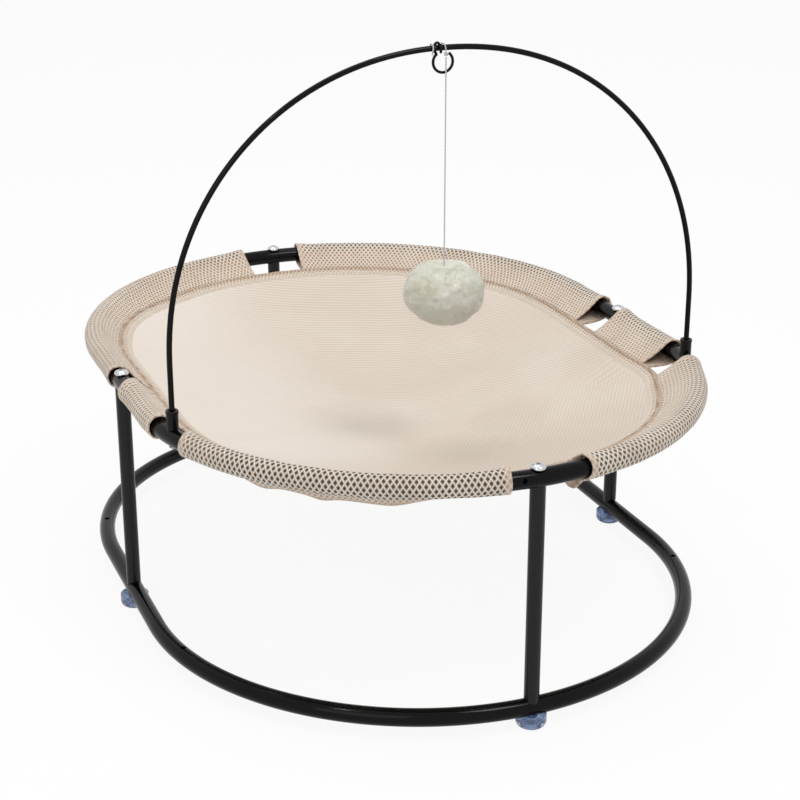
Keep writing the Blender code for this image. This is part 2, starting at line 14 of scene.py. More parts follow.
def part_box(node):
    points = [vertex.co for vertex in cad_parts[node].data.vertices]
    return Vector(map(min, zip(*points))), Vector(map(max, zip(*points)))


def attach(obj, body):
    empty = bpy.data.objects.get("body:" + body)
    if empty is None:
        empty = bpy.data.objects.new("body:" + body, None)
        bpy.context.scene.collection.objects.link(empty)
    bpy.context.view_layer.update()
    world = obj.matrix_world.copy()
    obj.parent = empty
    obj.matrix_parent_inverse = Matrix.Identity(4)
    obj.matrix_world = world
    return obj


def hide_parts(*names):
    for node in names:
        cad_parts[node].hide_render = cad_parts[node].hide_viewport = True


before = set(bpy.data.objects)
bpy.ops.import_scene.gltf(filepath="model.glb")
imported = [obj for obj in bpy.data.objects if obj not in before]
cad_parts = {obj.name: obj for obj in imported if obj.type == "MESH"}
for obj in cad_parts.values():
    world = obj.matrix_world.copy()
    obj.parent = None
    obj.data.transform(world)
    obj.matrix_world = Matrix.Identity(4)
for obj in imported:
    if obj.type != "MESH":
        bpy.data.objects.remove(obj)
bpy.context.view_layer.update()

# The rings, as the model has them
end_radius = 0.260
side_straight = 0.170
end_runs = 21
ring_tube = 0.016
ring_wall = 0.001
base_level = 0.018
upper_level = 0.230
joint_mouth = 0.005
neck_start = 0.0052
neck_end = 0.0044
neck_length = 0.020
lock_hole = 0.0046
lock_hole_place = 0.0155
lock_hole_slope = math.radians(-15)
arch_hole = 0.0052
hole_depth = 0.004
edge_bevel = 0.0003
tube_step = 0.006

# Legs, screws and feet
leg_tube = 0.0135
top_head = 0.0136
top_head_height = 0.0042
head_rim = 0.0007
head_sweep = math.radians(84)
head_stub = 0.002
screw_shank = 0.006
recess_width = 0.46 * top_head
recess_slot = 0.0016
recess_depth = 0.0025
recess_taper = 0.55
overcut = 0.001
foot_diameter = 0.027
foot_top = 0.0125
foot_edge = 0.0050
foot_round = 0.0012
foot_chamfer = 0.0004
foot_recess = 0.0115
foot_recess_depth = 0.0055
screw_bore = 0.0066

# Arch and sockets
arch_back = -0.149
rod_diameter = 0.005
arch_foot = 0.2458
arch_middle = 0.295
arch_fullness = 2.1
arch_runs = 25
socket_diameter = 0.0107
socket_lip = 0.0114
socket_lip_height = 0.003
socket_height = 0.0165
socket_bore = 0.0064
socket_chamfer = 0.0008
socket_round = 0.0006
socket_floor = 0.0075
socket_skirt = 0.004

# Toy
toy_place = -0.003
eye_wire = 0.0025
eye_diameter = 0.0205
eye_drop = 0.012
eye_right_end = math.radians(52)
eye_left_end = math.radians(132)
eye_turn = (-0.0068, -0.0031)
string_diameter = 0.0012
string_ahead = 0.0032
string_aside = 0.0015
knot_drop = 0.0052
knot_height = 0.0041
knot_reach = 0.0011
knot_rise = 0.0010
string_length = 0.183
wrap_slack = 0.0005
pompom_width = 0.071
pompom_height = 0.0575
pompom_dimple = 0.006
dimple_depth = 1.3 * pompom_dimple
dimple_width = 0.009
pile_length = 0.0044
pile_count = 11000
fibre_root = 0.00030
fibre_middle = 0.00024
fibre_sink = 0.001
fibre_seed = 1

# Lumps of the pompom, from broad to fine: their scale, height share and offset
pompom_lumps = ((2.1, 0.060, (3.1, 0.4, 1.7)), (5.5, 0.050, (0.3, 7.2, 2.2)),
                (13.0, 0.008, (1.9, 4.4, 0.8)))

# Sling
seat_gap = 0.0003
cloth = 0.0018
seat_cloth = 0.0012
border_width = 0.014
border_overlap = 0.0008
border_slope = 0.003
border_wrinkle = 0.0006
seam_drop = 0.010
seam_dip = 0.0012
seat_hem = 0.011
seat_sag = 0.040
seat_uneven = 0.0005
seat_step = 0.005
crease_depth = 0.0020
crease_count = 9
crease_start = (0.218, -0.061)
crease_end = (0.165, -0.157)
crease_spacing = 0.009
crease_fold = 0.0022
crease_spread = 0.014
mouth_flare = 0.0016
mouth_length = 0.012
pucker_fine = 0.0009
pucker_broad = 0.0007
pucker_even = 0.0003
pucker_reach = 0.012
ridge_height = 0.0016
ridge_width = 0.0020
ridge_place = 0.0022
stitch_pitch = 0.0028
stitch_thread = 0.0009
stitch_from = 0.0015
stitch_to = 0.0048
stitch_high = 0.0022
stitch_low = 0.0007
border_tuck = 0.0032
border_tuck_width = 0.004
cloth_step = 0.004

# The open mesh: its cells along the ring and across the sleeve, and the holes in them
cells_round_ring = 389
cell_across = 0.0075
hole_along = 0.00125
hole_across = 0.00145
fibre_scale = 2500.0
cloth_gloss = {"Sheen_Weight": 0.15, "Sheen_Roughness": 0.4, "Specular_IOR_Level": 0.25}

# How a sleeve's lower layer hangs: place before the front leg, depth and half width of each
# lobe of the long front left sleeve, and one depth for the others. The peak brings the
# curve's deepest place to that depth
front_left_lobes = ((0.172, 0.009, 0.085), (0.239, 0.005, 0.014), (0.181, 0.002, 0.010),
                    (0.118, 0.0045, 0.024))
other_slack = 0.0008
hang_peak = 6.75
loose_corner = 0.010
loose_corner_length = 0.005

# Painted shade in the mesh's holes by place along the ring: least at the left, painted lighter
# there
painted_shade_along_ring = ((0.0, 1.0), (0.06, 0.9), (0.15, 0.70), (0.34, 0.70), (0.42, 0.97), (1.02, 0.97),
              (1.15, 0.40), (1.61, 0.40), (1.72, 1.0))

# The camera, worked out from the photograph, and what the lamps point at
focal_pixels = 1764
photo_pixels = 800
camera_place = (-0.594, -1.520, 0.798)
camera_tilt = 20.89
camera_turn = -21.93
lamp_aim = (0.0, 0.0, 0.2)

# The smallest distance: closer points are joined
hair = 0.00001

upward = Vector((0.0, 0.0, 1.0))
quarter_length = end_radius * math.pi / 2
ring_length = 4 * quarter_length + 2 * side_straight
half_length = ring_length / 2
ring_top = upper_level + ring_tube / 2
side_leg_place = quarter_length + side_straight / 2
socket_angle = math.asin((-arch_back - side_straight / 2) / end_radius)
socket_place = quarter_length - end_radius * socket_angle

# The model's rings have straight runs. This curve lies halfway between their corners
# and their middles.
bend_radius = end_radius * (1 + math.cos(math.pi / (2 * end_runs))) / 2
cell_along = ring_length / cells_round_ring

# Where the seam lies: place along the ring, and how far inside the tube's middle. The sling
# is drawn to the left, so its seam comes nearer to the tube there
seam_course = ((0.0, 0.034), (0.213, 0.030), (0.301, 0.032), (0.340, 0.029), (0.410, 0.035),
               (0.520, 0.033), (0.990, 0.034), (1.135, 0.030), (1.261, 0.021), (1.341, 0.0235),
               (1.480, 0.0245), (1.630, 0.027), (1.750, 0.034), (ring_length, 0.034))

# Free tube round each leg and socket, counter-clockwise from the front leg: the place of
# the leg or socket, and where the sleeves end before it and start again after it
bare_tube = ((0.0, -0.0255, 0.043), (socket_place, -0.0145, 0.0335),
             (side_leg_place, -0.0135, 0.0305), (half_length, -0.027, 0.039),
             (ring_length - side_leg_place, -0.0135, 0.0305),
             (ring_length - socket_place, -0.025, 0.0255), (ring_length, -0.0255, 0.043))

# The sleeves in the same order. Their skews say how far the upper seam, the outer side and
# the lower seam start and end beyond the sleeve's start and end
square = (0.0, 0.0, 0.0)
sleeve_skews = {"front_right": ((-0.004, 0.002, -0.006), (0.006, 0.0, 0.0)),
                "right": ((0.0, 0.0, -0.008), (0.001, 0.003, 0.0)),
                "back_right": ((0.0, 0.004, -0.010), square),
                "back_left": (square, (0.014, 0.0, 0.0)),
                "left": ((-0.018, 0.0, 0.0), (0.006, 0.0, 0.0)),
                "front_left": ((-0.010, 0.0, 0.0), (0.003, -0.001, -0.0025))}


# Meshes

def finished(name, bm, smooth=40):
    """A mesh from a finished edit, smooth up to an angle in degrees."""
    mesh = bpy.data.meshes.new(name)
    bm.to_mesh(mesh)
    bm.free()
    mesh.shade_smooth()
    mesh.set_sharp_from_angle(angle=math.radians(smooth))
    return mesh


def linked(name, data):
    """An object of its data, put into the scene."""
    thing = bpy.data.objects.new(name, data)
    bpy.context.scene.collection.objects.link(thing)
    return thing


def piece(name, data, material, body, slot, *nodes):
    """A piece of the object that rides on a body and may stand for nodes of the model."""
    thing = linked(name, data)
    if not data.materials:
        data.materials.append(material)
    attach(thing, body)
    if nodes:
        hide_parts(*nodes)
    return thing


def sheet_mesh(name, rows, *layers):
    """A sheet through rows of points. After each point comes its place in every UV layer."""
    bm = bmesh.new()
    uv_layers = [bm.loops.layers.uv.new(layer) for layer in layers]
    grid = [[bm.verts.new(point) for point, *places in row] for row in rows]
    for i in range(len(grid) - 1):
        for j in range(len(grid[0]) - 1):
            ring = ((i, j), (i, j + 1), (i + 1, j + 1), (i + 1, j))
            face = bm.faces.new([grid[a][b] for a, b in ring])
            for loop, (a, b) in zip(face.loops, ring):
                for layer, place in zip(uv_layers, rows[a][b][1:]):
                    loop[layer].uv = place
    bmesh.ops.remove_doubles(bm, verts=bm.verts, dist=hair)
    return finished(name, bm, 60)


def cloth_piece(name, node, material, slot, thickness, rows, *layers):
    """A sheet of cloth through rows of points, which stands for a node of the model."""
    sheet = piece(name, sheet_mesh(name, rows, *layers), material, "frame", slot, node)
    shell = sheet.modifiers.new("cloth", "SOLIDIFY")
    shell.thickness = thickness
    shell.offset = 0.0
    return sheet


def spaced(start, end, count):
    """Even steps from start to end, both included."""
    return [start + (end - start) * i / count for i in range(count + 1)]


def round_points(centre, side, other, radius, count):
    """Points of a circle round a centre, from two directions across it."""
    return [centre + (side * math.cos(angle) + other * math.sin(angle)) * radius
            for angle in spaced(0.0, math.tau, count)[:-1]]


def add_tube(bm, circles):
    """A tube through circles of points, closed at both ends."""
    rings = [[bm.verts.new(point) for point in circle] for circle in circles]
    for first, second in zip(rings, rings[1:]):
        for k in range(len(first)):
            j = (k + 1) % len(first)
            bm.faces.new((first[k], first[j], second[j], second[k]))
    bm.faces.new(rings[0][::-1])
    bm.faces.new(rings[-1])


def swept(name, path, radii, sides=16):
    """A round tube along a path with a radius at each point, turned as little as can be."""
    circles = []
    side_way = None
    for i, point in enumerate(path):
        way = (path[min(i + 1, len(path) - 1)] - path[max(i - 1, 0)]).normalized()
        if side_way is None:
            side_way = way.orthogonal()
        side_way = (side_way - way * side_way.dot(way)).normalized()
        radius = radii[i] if isinstance(radii, list) else radii
        circles.append(round_points(point, side_way, way.cross(side_way), radius, sides))
    bm = bmesh.new()
    add_tube(bm, circles)
    bmesh.ops.recalc_face_normals(bm, faces=bm.faces)
    return finished(name, bm)


def turned(name, profile, steps=48):
    """A closed shape turned about Z from an outline that starts and ends on one side."""
    bm = bmesh.new()
    points = [bm.verts.new((radius, 0.0, height)) for radius, height in profile]
    edges = [bm.edges.new(pair) for pair in zip(points, points[1:])]
    bmesh.ops.spin(bm, geom=points + edges, cent=(0, 0, 0), axis=(0, 0, 1),
                   angle=math.tau, steps=steps)
    bmesh.ops.remove_doubles(bm, verts=bm.verts, dist=hair)
    bmesh.ops.recalc_face_normals(bm, faces=bm.faces)
    return finished(name, bm)


def cylinder(diameter, low, high):
    bm = bmesh.new()
    bmesh.ops.create_cone(bm, cap_ends=True, segments=32, radius1=diameter / 2,
                          radius2=diameter / 2, depth=high - low,
                          matrix=Matrix.Translation((0, 0, (low + high) / 2)))
    return finished("cylinder", bm)


def cut(mesh, tools):
    """The mesh after a Boolean cut by each tool mesh."""
    body = linked("body", mesh)
    cutters = [linked("tool", tool) for tool in tools]
    for cutter in cutters:
        modifier = body.modifiers.new("cut", "BOOLEAN")
        modifier.solver = "EXACT"
        modifier.object = cutter
    bm = bmesh.new()
    bm.from_object(body, bpy.context.evaluated_depsgraph_get())
    for thing in [body] + cutters:
        bpy.data.objects.remove(thing)
    return finished(mesh.name, bm)


def placed(mesh, place, turn=0.0):
    """A copy of a mesh, turned about Z and moved to its place."""
    copy = mesh.copy()
    copy.transform(Matrix.Translation(place) @ Matrix.Rotation(turn, 4, "Z"))
    return copy


def rounded(start, end, steps=5):
    """Points of a quarter-round edge from one point to another, bulging away from the axis."""
    points = []
    for angle in spaced(0.0, math.pi / 2, steps):
        across = start[0] + (end[0] - start[0]) * math.sin(angle)
        along = start[1] + (end[1] - start[1]) * (1 - math.cos(angle))
        points.append((across, along))
    return points


# Node materials

def tint(red, green, blue):
    """A shader colour from a screen colour of 0 to 255."""
    parts = [value / 255 for value in (red, green, blue)]
    return tuple(p / 12.92 if p < 0.04 else ((p + 0.055) / 1.055) ** 2.4 for p in parts) + (1.0,)


def add_to(tree, kind, inputs, **settings):
    """A node with settings, whose inputs are values or sockets to link from."""
    node = tree.nodes.new("ShaderNode" + kind)
    for name, value in settings.items():
        setattr(node, name, value)
    for name, value in inputs.items():
        if isinstance(value, bpy.types.NodeSocket):
            tree.links.new(value, node.inputs[name])
        else:
            node.inputs[name].default_value = value
    return node


def add(kind, inputs, **settings):
    """A node in the tree of its first input, which is a socket."""
    first = next(iter(inputs.values()))
    return add_to(first.id_data, kind, inputs, **settings)


def new_material(name, **sockets):
    """A material and its node tree, with values set on its shader's sockets."""
    material = bpy.data.materials.new(name)
    material.use_nodes = True
    tree = material.node_tree
    shader = tree.nodes["Principled BSDF"]
    for socket, value in sockets.items():
        shader.inputs[socket.replace("_", " ")].default_value = value
    return material, tree


def grain(coordinates, scale, detail=3.0):
    noise_node = add("TexNoise", {"Vector": coordinates, "Scale": scale, "Detail": detail})
    return noise_node.outputs["Fac"]


def ramp(value, stops):
    """Colours by value. Stops are (value, colour)."""
    node = add("ValToRGB", {"Fac": value})
    elements = node.color_ramp.elements
    while len(elements) < len(stops):
        elements.new(0.5)
    for element, (position, colour) in zip(elements, stops):
        element.position = position
        element.color = colour
    return node.outputs["Color"]


def between(value, first, second, low=0.3, high=0.7):
    """A colour between two screen colours, as a value goes from low to high."""
    return ramp(value, ((low, tint(*first)), (high, tint(*second))))


def mapped(value, low, high, to_low=0.0, to_high=1.0, kind="LINEAR"):
    inputs = {"Value": value, "From Min": low, "From Max": high, "To Min": to_low,
              "To Max": to_high}
    return add("MapRange", inputs, interpolation_type=kind).outputs["Result"]


def rising(value, low, high):
    """A smooth step from 0 at low to 1 at high."""
    return mapped(value, low, high, kind="SMOOTHSTEP")


def falling(value, low, high):
    """A smooth step from 1 at low to 0 at high."""
    return mapped(value, low, high, 1.0, 0.0, "SMOOTHSTEP")


def math_of(operation, first, second=0.0):
    return add("Math", {0: first, 1: second}, operation=operation).outputs[0]


def times(first, second):
    return math_of("MULTIPLY", first, second)


def vector_of(operation, first, second=(0.0, 0.0, 0.0)):
    node = add("VectorMath", {0: first, 1: second}, operation=operation)
    return node.outputs["Value" if operation in ("LENGTH", "DOT_PRODUCT") else "Vector"]


def mixed(factor, first, second):
    node = add("Mix", {"Factor": factor, "A": first, "B": second}, data_type="RGBA")
    return node.outputs["Result"]


def bumped(height, distance, strength=1.0):
    inputs = {"Height": height, "Distance": distance, "Strength": strength}
    return add("Bump", inputs).outputs["Normal"]


def finish_material(material, colour, roughness, normal):
    tree = material.node_tree
    shader = tree.nodes["Principled BSDF"]
    tree.links.new(colour, shader.inputs["Base Color"])
    tree.links.new(roughness, shader.inputs["Roughness"])
    tree.links.new(normal, shader.inputs["Normal"])
    return material


def object_coordinates(tree):
    return add_to(tree, "TexCoord", {}).outputs["Object"]


def speckled(name, dark, light, rough, scale, bump, **sockets):
    """A hard surface with fine specks in its colour, roughness and height."""
    material, tree = new_material(name, **sockets)
    where = object_coordinates(tree)
    specks = grain(where, scale)
    cloud = grain(where, scale / 30, 2.0)
    colour = between(specks, dark, light, 0.35)
    roughness = mapped(cloud, 0.3, 0.7, *rough)
    return finish_material(material, colour, roughness, bumped(specks, bump))


def flat_places(tree, wander):
    """Places on the flat cloth, moved a little so that the rows of holes wander."""
    flat = add_to(tree, "UVMap", {}, uv_map="cloth").outputs["UV"]
    drift = add("TexNoise", {"Vector": flat, "Scale": 60.0, "Detail": 2.0}).outputs["Color"]
    centred = vector_of("SUBTRACT", drift, (0.5, 0.5, 0.5))
    small = vector_of("MULTIPLY", centred, (wander, wander, 0.0))
    return flat, vector_of("ADD", flat, small)


def steps_along(where, x, y):
    """How many steps of a pattern lie up to a place, for a pattern with x and y steps a metre."""
    return vector_of("DOT_PRODUCT", where, (x, y, 0.0))


def mesh_cells(where):
    """Distance from a hole, 1 at its edge, and nearness to the crossing threads between holes.

    The threads run slantwise both ways, and each diamond between them has a hole in its middle.
    """
    insides = []
    for way in (1, -1):
        steps = steps_along(where, 1 / cell_along, way / cell_across)
        inside = math_of("FRACT", math_of("ADD", steps, 0.5))
        insides.append(math_of("SUBTRACT", inside, 0.5))
    along = times(math_of("ADD", *insides), cell_along / 2 / hole_along)
    across = times(math_of("SUBTRACT", *insides), cell_across / 2 / hole_across)
    pair = add("CombineXYZ", {"X": along, "Y": across}).outputs[0]
    distance = vector_of("LENGTH", pair)
    sizes = [math_of("ABSOLUTE", inside) for inside in insides]
    return distance, math_of("MAXIMUM", *sizes)


def mesh_cloth():
    """Open mesh with slanting threads, darker where the black tube lies behind its holes, with
    painted shade in the holes beside the tube and along the ring.

    Its zones give the distance from the nearest mouth and the way from the tube's outer
    side, which is below zero towards the upper seam. On the border the way starts at 1.
    """
    material, tree = new_material("hole_mesh", Subsurface_Weight=0.6, Subsurface_Scale=0.002,
                                  Subsurface_Radius=(1.0, 0.9, 0.8), **cloth_gloss)
    flat, moved = flat_places(tree, 0.0010)
    distance, nearness = mesh_cells(moved)
    zones = add_to(tree, "UVMap", {}, uv_map="zones").outputs["UV"]
    split = add("SeparateXYZ", {"Vector": zones})
    from_mouth, way = split.outputs["X"], split.outputs["Y"]
    place = add("SeparateXYZ", {"Vector": flat}).outputs["X"]
    # Painted shade along the ring: it scales how darkly the tube shows through the holes
    shows = ramp(math_of("DIVIDE", place, ring_length),
                 [(where / ring_length, (level, level, level, 1.0)) for where, level in painted_shade_along_ring])
    tube_and_painted_shade = times(falling(way, 0.012, 0.021), shows)
    tube = times(rising(way, -0.021, -0.015), tube_and_painted_shade)
    # Holes on the slope beside the tube darken towards it as painted shade; over the tube the black
    # tube lies behind them
    dark = times(rising(way, -0.033, -0.017), tube_and_painted_shade)
    under = times(rising(way, 0.014, 0.024), mapped(way, 0.5, 0.6, 1.0, 0.0))
    hem = falling(from_mouth, 0.003, 0.007)
    seam = times(mapped(way, 0.999, 1.001), falling(way, 1.002, 1.004))
    inner_edge = rising(way, 1.006, 1.013)
    hole = mixed(dark, tint(168, 138, 111), tint(76, 67, 58))
    hole = mixed(math_of("MAXIMUM", under, hem), hole, tint(160, 134, 110))
    cloud = grain(flat, 25.0)
    open_ground = between(cloud, (200, 183, 165), (214, 198, 181))
    tube_ground = between(cloud, (166, 152, 137), (182, 168, 153))
    ground = mixed(tube, open_ground, tube_ground)
    thread = between(cloud, (221, 211, 199), (232, 224, 213))
    plain = mixed(under, tint(216, 195, 176), tint(182, 160, 140))
    edge = rising(distance, 0.60, 1.30)
    crossing = rising(nearness, 0.34, 0.47)
    colour = mixed(crossing, mixed(edge, hole, ground), thread)
    covered = math_of("MAXIMUM", times(under, 0.7), times(hem, 0.5))
    colour = mixed(covered, colour, plain)
    colour = mixed(times(seam, 0.6), colour, tint(168, 138, 112))
    colour = mixed(times(inner_edge, 0.9), colour, tint(217, 204, 190))
    fibres = grain(flat, fibre_scale)
    height = math_of("ADD", edge, times(crossing, 0.6))
    height = math_of("ADD", height, times(fibres, 0.25))
    roughness = mapped(fibres, 0.2, 0.8, 0.75, 0.95)
    return finish_material(material, colour, roughness, bumped(height, 0.0005, 0.6))


def ribs(where, pitch, degrees):
    """Low ribs of one pitch, whose direction of repeat is turned by an angle from +X."""
    angle = math.radians(degrees)
    steps = steps_along(where, math.cos(angle) / pitch, math.sin(angle) / pitch)
    wave = math_of("SINE", times(steps, math.tau))
    return mapped(wave, -1.0, 1.0)


def seat_cloth_material():
    """Fine mesh of two slanting sets of low ribs: one plainest in front, the other behind. Its
    colour has painted shade at the front and painted light at the left.
    """
    material, tree = new_material("seat_mesh", **cloth_gloss)
    flat, moved = flat_places(tree, 0.0020)
    split = add("SeparateXYZ", {"Vector": flat})
    x, y = split.outputs["X"], split.outputs["Y"]
    behind = mapped(y, -0.16, -0.04, 0.25, 0.85, "SMOOTHSTEP")
    # Painted shade towards the front and painted light towards the left
    front = mapped(y, -0.26, -0.14, 0.45, 0.0, "SMOOTHSTEP")
    left = mapped(x, -0.18, 0.02, 0.6, 0.0, "SMOOTHSTEP")
    front_ribs = ribs(moved, 0.0034, -34)
    back_ribs = ribs(moved, 0.0055, -110)
    weave = add("Mix", {"Factor": behind, "A": front_ribs, "B": back_ribs}).outputs[0]
    cloud = grain(flat, 9.0)
    fibres = grain(flat, fibre_scale)
    low = between(cloud, (204, 188, 172), (211, 197, 183))
    high = between(cloud, (221, 209, 196), (228, 218, 207))
    # Painted light makes the left paler, then painted shade darkens the front
    colour = mixed(left, mixed(weave, low, high), tint(236, 228, 219))
    colour = mixed(front, colour, tint(200, 183, 166))
    height = math_of("ADD", weave, times(fibres, 0.4))
    roughness = mapped(fibres, 0.2, 0.8, 0.8, 0.95)
    return finish_material(material, colour, roughness, bumped(height, 0.0003, 0.4))


def thread_material(name, dark, light):
    """Twisted thread: slanting bands in colour and height."""
    material, tree = new_material(name, Sheen_Weight=0.2, Specular_IOR_Level=0.3)
    where = object_coordinates(tree)
    bands = add("TexWave", {"Vector": where, "Scale": 200.0, "Distortion": 2.0},
                bands_direction="DIAGONAL").outputs["Fac"]
    colour = between(bands, dark, light, 0.2, 0.8)
    roughness = mapped(bands, 0.0, 1.0, 0.75, 0.9)
    return finish_material(material, colour, roughness, bumped(bands, 0.0001))


def plush_material():
    """Short pile, a little greyer and warmer in some tufts."""
    material, tree = new_material("plush", Sheen_Weight=0.3, Sheen_Roughness=0.5,
                                  Specular_IOR_Level=0.1)
    where = object_coordinates(tree)
    tufts = grain(where, 90.0)
    fibres = grain(where, 1200.0)
    shade = math_of("ADD", times(tufts, 0.6), times(fibres, 0.4))
    colour = between(shade, (242, 237, 218), (255, 255, 246), 0.3, 0.55)
    roughness = mapped(fibres, 0.2, 0.8, 0.85, 1.0)
    return finish_material(material, colour, roughness, bumped(fibres, 0.0004))


def clear_material():
    """Clear blue-grey soft plastic."""
    material, tree = new_material("clear_plastic", IOR=1.46, Transmission_Weight=0.7)
    cloud = grain(object_coordinates(tree), 160.0)
    colour = between(cloud, (106, 127, 164), (148, 167, 203))
    roughness = mapped(cloud, 0.3, 0.7, 0.08, 0.18)
    return finish_material(material, colour, roughness, bumped(cloud, 0.0003))


# The plan of the ring

def ring(place):
    """Point and outward direction at a place on the ring."""
    half = -1 if place % ring_length >= half_length else 1
    place = place % ring_length % half_length
    on_side = min(max(place - quarter_length, 0.0), side_straight)
    angle = (place - on_side) / end_radius - math.pi / 2
    outward = Vector((math.cos(angle), math.sin(angle), 0.0)) * half
    middle = Vector((0.0, on_side - side_straight / 2, 0.0)) * half
    return middle + outward * bend_radius, outward


def ring_at(place, out=0.0, up=0.0):
    """A point beside the upper ring's middle line."""
    point, outward = ring(place)
    return point + outward * out + upward * (upper_level + up)


def ring_heading(place):
    outward = ring(place)[1]
    return math.atan2(outward.x, -outward.y)


def seam_at(place):
    """How far inside the tube's middle the seam lies at a place on the ring."""
    place = place % ring_length
    for (start, low), (end, high) in zip(seam_course, seam_course[1:]):
        if place <= end:
            share = (place - start) / (end - start)
            return low + (high - low) * (1 - math.cos(math.pi * share)) / 2


def steps_between(start, end, step):
    return spaced(start, end, max(2, round((end - start) / step)))


def lobe(distance, width):
    """A smooth bump: 1 at distance 0, falling away over a width."""
    return math.exp(-(distance / width) ** 2)


def spot(node):
    """The middle of a node of the model, on the floor."""
    low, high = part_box(node)
    return Vector(((low[0] + high[0]) / 2, (low[1] + high[1]) / 2, 0.0))


# Tube frame

def half_ring_mesh(locked):
    """A smooth half ring at height 0, with its mouth, its neck and its small holes.

    Only the upper ring shows its lock hole.
    """
    radius = ring_tube / 2
    inner = radius - ring_wall
    neck = inner - seat_gap
    mouth = -joint_mouth
    end = half_length
    stations = [(mouth, inner), (mouth + hair, radius - edge_bevel),
                (mouth + edge_bevel, radius)]
    stations += [(place, radius) for place in steps_between(0.0, end - neck_start, tube_step)]
    stations += [(end - neck_end, neck), (end - neck_end + neck_length, neck)]
    path = [ring(place)[0] for place, size in stations]
    tube = swept("half_ring", path, [size for place, size in stations], 32)
    drills = []
    for place in (socket_place, half_length - socket_place):
        drill = cylinder(arch_hole, radius - hole_depth, 2 * radius)
        drills.append(placed(drill, ring(place)[0]))
    if locked:
        lock = cylinder(lock_hole, radius - hole_depth, 2 * radius)
        lock.transform(Matrix.Rotation(math.pi / 2 + lock_hole_slope, 4, "X"))
        lock.transform(Matrix.Rotation(math.pi, 4, "Z"))
        drills.append(placed(lock, ring(half_length - lock_hole_place)[0]))
    return cut(tube, drills)


def make_rings(paint):
    for ring_name, level in (("upper", upper_level), ("base", base_level)):
        mesh = half_ring_mesh(ring_name == "upper")
        for side, turn in (("right", 0.0), ("left", math.pi)):
            node = ring_name + "_tube_" + side
            tube = placed(mesh, (0, 0, level), turn)
            piece("smooth_" + node, tube, paint, "frame", "black_paint", node)


def tube_saddle(length, level):
    """Cutter along X that leaves room for a ring tube at one height."""
    saddle = cylinder(ring_tube + 2 * seat_gap, -length / 2, length / 2)
    saddle.transform(Matrix.Rotation(math.pi / 2, 4, "Y"))
    return placed(saddle, (0, 0, level))


def leg_mesh():
    """A leg with saddled ends, for ring tubes along X."""
    radius = leg_tube / 2
    profile = [(0.0, upper_level), (radius, upper_level), (radius, base_level), (0.0, base_level)]
    leg = turned("leg", profile, 40)
    return cut(leg, [tube_saddle(3 * leg_tube, level) for level in (base_level, upper_level)])


def truss_head_mesh():
    """A truss head with a cross recess and a short stub of its shank."""
    radius = top_head / 2
    height = top_head_height
    shank = screw_shank / 2
    profile = [(0.0, height)]
    for angle in spaced(0.0, head_sweep, 10)[1:]:
        profile.append((radius * math.sin(angle) / math.sin(head_sweep),
                        head_rim + (height - head_rim) * math.cos(angle)))
    profile += [(radius, 0.0004), (radius - 0.0003, 0.0), (shank, 0.0), (shank, -head_stub),
                (0.0, -head_stub)]
    head = turned("truss_head", profile)
    blades = []
    for turn in (0.0, math.pi / 2):
        bm = bmesh.new()
        bmesh.ops.create_cube(bm, size=1.0)
        for vertex in bm.verts:
            low = vertex.co.z < 0
            narrow = recess_taper if low else 1.0
            vertex.co.x *= recess_width * narrow
            vertex.co.y *= recess_slot * narrow
            vertex.co.z = height + (-recess_depth if low else overcut)
        blades.append(placed(finished("blade", bm), (0, 0, 0), turn))
    return cut(head, blades)


def foot_mesh():
    """A round foot with a screw recess below and a saddle above."""
    outer = foot_diameter / 2
    bore = screw_bore / 2
    recess = foot_recess / 2
    profile = [(bore, foot_top), (outer - foot_round, foot_top)]
    profile += rounded((outer - foot_round, foot_top), (outer, foot_top - foot_round))[1:]
    profile += rounded((outer - foot_edge, 0.0), (outer, foot_edge), 8)[::-1]
    profile += [(recess + foot_chamfer, 0.0), (recess, foot_chamfer), (recess, foot_recess_depth),
                (bore, foot_recess_depth), (bore, foot_top)]
    return cut(turned("foot", profile), [tube_saddle(2 * foot_diameter, base_level)])


def make_legs(satin, chrome, clear):
    leg = leg_mesh()
    head = truss_head_mesh()
    foot = foot_mesh()
    headings = {"front": 0.0, "right": math.pi / 2, "back": math.pi, "left": -math.pi / 2}
    recess_turns = {"front": 0.5, "right": 1.1, "back": 0.2, "left": 0.8}
    for name, turn in headings.items():
        place = spot("leg_" + name)
        # The legs' paint is lighter grey than the rings': painted light
        piece("smooth_leg_" + name, placed(leg, place, turn), satin, "frame", "black_paint",
              "leg_" + name)
        top = place + upward * (ring_top + seat_gap)
        piece("truss_screw_" + name, placed(head, top, recess_turns[name]), chrome, "frame",
              "chrome_plate", "top_screw_" + name)
        piece("clear_foot_" + name, placed(foot, place, turn), clear, "frame", "blue_clear",
              "foot_" + name)


def socket_mesh():
    """An arch socket with soft edges and a saddle for a tube along X."""
    outer = socket_diameter / 2
    lip = socket_lip / 2
    bore = socket_bore / 2
    top = socket_height
    lip_low = top - socket_lip_height
    profile = [(0.0, socket_floor), (bore, socket_floor), (bore, top - socket_chamfer),
               (bore + socket_chamfer, top), (lip - socket_round, top)]
    profile += rounded((lip - socket_round, top), (lip, top - socket_round))[1:]
    profile += [(lip, lip_low), (outer, lip_low - 0.0003), (outer, -socket_skirt),
                (0.0, -socket_skirt)]
    saddle = tube_saddle(3 * socket_diameter, -ring_tube / 2)
    return cut(turned("socket", profile), [saddle])


def bowed(value):
    """A sine or cosine made a little fuller, for the arch's round shoulders."""
    return math.copysign(abs(value) ** (2 / arch_fullness), value)


def half_span():
    """Half the width of the arch between its uprights' middles."""
    low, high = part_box("arch_rod")
    return (high[0] - low[0] - rod_diameter) / 2


def bow_centre():
    """Height of the bow's middle, so that its top meets the model's short level run there."""
    return arch_middle - half_span() * (1 - bowed(math.cos(math.pi / (2 * arch_runs))))


